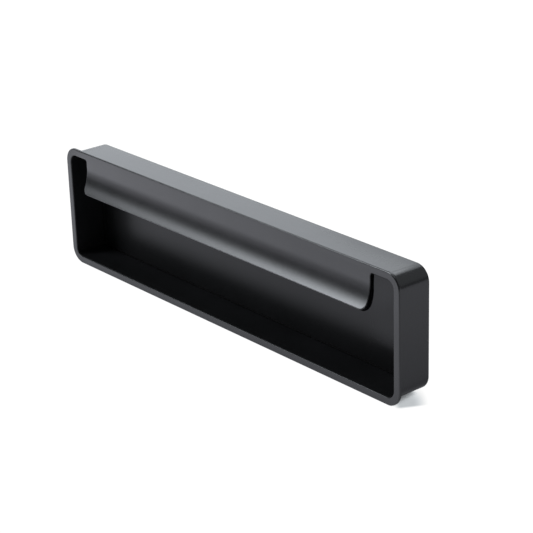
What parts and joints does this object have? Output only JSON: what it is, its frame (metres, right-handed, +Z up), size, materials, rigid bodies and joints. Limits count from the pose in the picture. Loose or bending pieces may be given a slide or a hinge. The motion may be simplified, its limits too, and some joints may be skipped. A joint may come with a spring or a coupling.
{
  "type": "recessed pull handle",
  "caption": "Long shallow rectangular tray with round corners, a thin rim round its open front, and a finger lip that hangs from the top edge and curls outward.",
  "frame": {"origin": "centre of the seat, the plane of the rim's back, where the panel's face lies", "axes": "+X along the handle, +Y into the panel, away from the user, +Z up, with the finger lip along the top"},
  "size_m": [0.196, 0.0229, 0.05],
  "materials": {
    "satin_black": "satin black powder coat on a zinc casting"
  },
  "bodies": {
    "root": {"pull_handle": "satin_black"}
  },
  "joints": []
}
